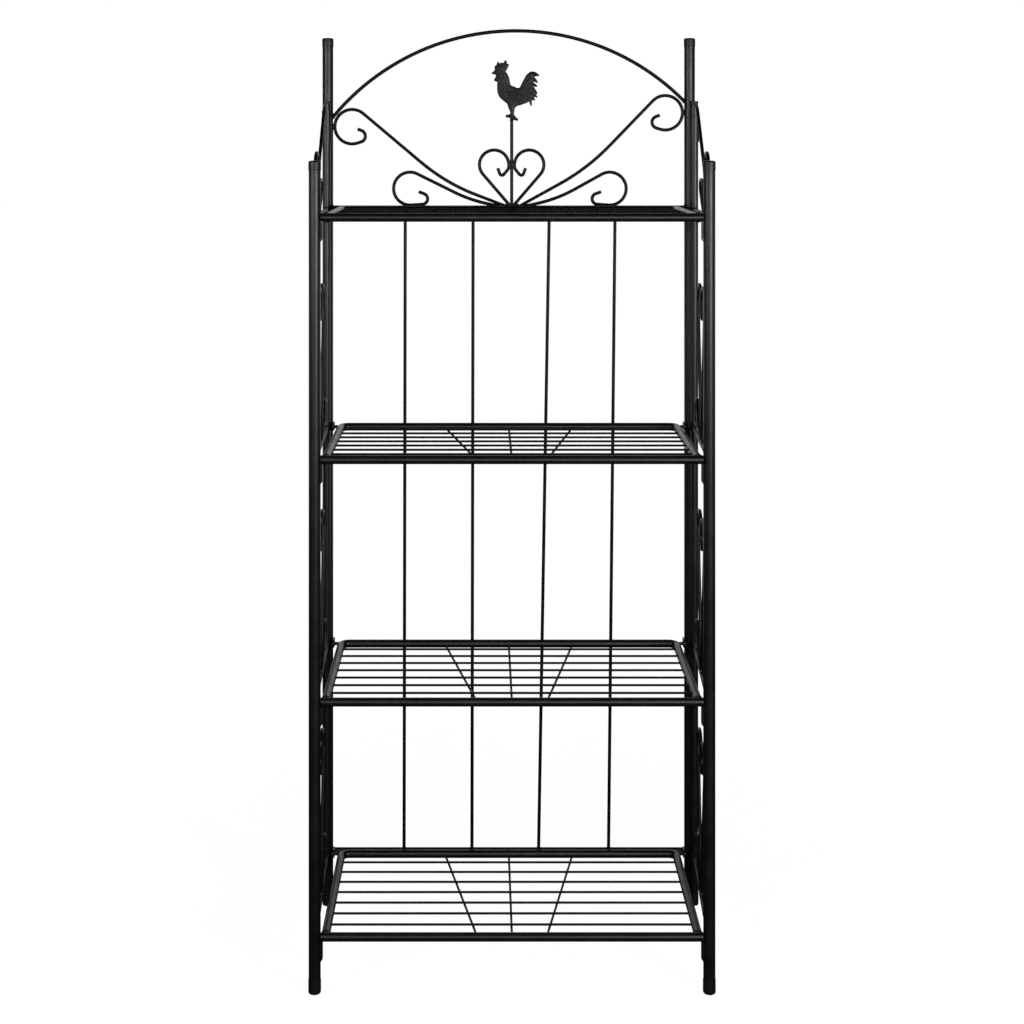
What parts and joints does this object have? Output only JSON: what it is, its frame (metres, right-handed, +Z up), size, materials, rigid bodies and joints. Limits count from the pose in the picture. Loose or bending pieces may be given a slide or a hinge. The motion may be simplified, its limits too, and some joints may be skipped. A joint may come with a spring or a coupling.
{
  "type": "folding plant rack",
  "caption": "Tall folding metal rack: wire shelves between scrollwork side panels that swing on a back panel with an arched crest.",
  "frame": {"origin": "on the floor, under the middle of the four posts", "axes": "+Z up, the open front towards -Y, +X to the right as seen from the front"},
  "size_m": [0.6285, 0.312, 1.457],
  "materials": {
    "coated_tube": "satin powder coat",
    "coated_wire": "satin powder coat",
    "ornament_plate": "satin powder coat",
    "pivot_steel": "worn satin coat",
    "end_plastic": "smooth moulded"
  },
  "bodies": {
    "back_panel": {"back_post_left": "coated_tube", "back_post_right": "coated_tube", "back_post_caps": "end_plastic", "back_post_feet": "end_plastic", "top_bar": "coated_wire", "bottom_bar": "coated_wire", "back_rods": "coated_wire", "crest_arch": "coated_wire", "long_scroll_left": "coated_wire", "long_scroll_right": "coated_wire", "low_scroll_left": "coated_wire", "low_scroll_right": "coated_wire", "crest_heart": "coated_wire", "crest_stem": "coated_wire", "rooster": "ornament_plate", "hinge_sleeves": "coated_tube", "shelf_pivot_ears": "coated_wire"},
    "side_panel_left": {"left_front_post": "coated_tube", "left_rear_stile": "coated_tube", "left_post_caps": "end_plastic", "left_post_feet": "end_plastic", "left_crossbars": "coated_wire", "left_top_scroll": "coated_wire", "left_top_leaf": "coated_wire", "left_hearts": "coated_wire", "left_low_scrolls": "coated_wire", "left_shelf_brackets": "coated_wire"},
    "side_panel_right": {"right_front_post": "coated_tube", "right_rear_stile": "coated_tube", "right_post_caps": "end_plastic", "right_post_feet": "end_plastic", "right_crossbars": "coated_wire", "right_top_scroll": "coated_wire", "right_top_leaf": "coated_wire", "right_hearts": "coated_wire", "right_low_scrolls": "coated_wire", "right_shelf_brackets": "coated_wire"},
    "shelf_1": {"shelf_1_front_rail": "coated_tube", "shelf_1_back_rail": "coated_tube", "shelf_1_side_rails": "coated_tube", "shelf_1_wires": "coated_wire", "shelf_1_pivot_pins": "pivot_steel"},
    "shelf_2": {"shelf_2_front_rail": "coated_tube", "shelf_2_back_rail": "coated_tube", "shelf_2_side_rails": "coated_tube", "shelf_2_wires": "coated_wire", "shelf_2_pivot_pins": "pivot_steel"},
    "shelf_3": {"shelf_3_front_rail": "coated_tube", "shelf_3_back_rail": "coated_tube", "shelf_3_side_rails": "coated_tube", "shelf_3_wires": "coated_wire", "shelf_3_pivot_pins": "pivot_steel"},
    "shelf_4": {"shelf_4_front_rail": "coated_tube", "shelf_4_back_rail": "coated_tube", "shelf_4_side_rails": "coated_tube", "shelf_4_wires": "coated_wire", "shelf_4_pivot_pins": "pivot_steel"}
  },
  "joints": [
    {"name": "side_hinge_left", "type": "hinge", "parent": "back_panel", "child": "side_panel_left", "pos_m": [-0.303, 0.12951, 0.67], "axis": [0, 0, -1], "range_deg": [0, 90]},
    {"name": "side_hinge_right", "type": "hinge", "parent": "back_panel", "child": "side_panel_right", "pos_m": [0.3085, 0.13059, 0.67], "axis": [0, 0, 1], "range_deg": [0, 90]},
    {"name": "shelf_hinge_1", "type": "hinge", "parent": "back_panel", "child": "shelf_1", "pos_m": [0, 0.1335, 1.155], "axis": [-1, 0, 0], "range_deg": [0, 90]},
    {"name": "shelf_hinge_2", "type": "hinge", "parent": "back_panel", "child": "shelf_2", "pos_m": [0, 0.1335, 0.794], "axis": [-1, 0, 0], "range_deg": [0, 90]},
    {"name": "shelf_hinge_3", "type": "hinge", "parent": "back_panel", "child": "shelf_3", "pos_m": [0, 0.1335, 0.433], "axis": [-1, 0, 0], "range_deg": [0, 90]},
    {"name": "shelf_hinge_4", "type": "hinge", "parent": "back_panel", "child": "shelf_4", "pos_m": [0, 0.1335, 0.083], "axis": [-1, 0, 0], "range_deg": [0, 90]}
  ]
}
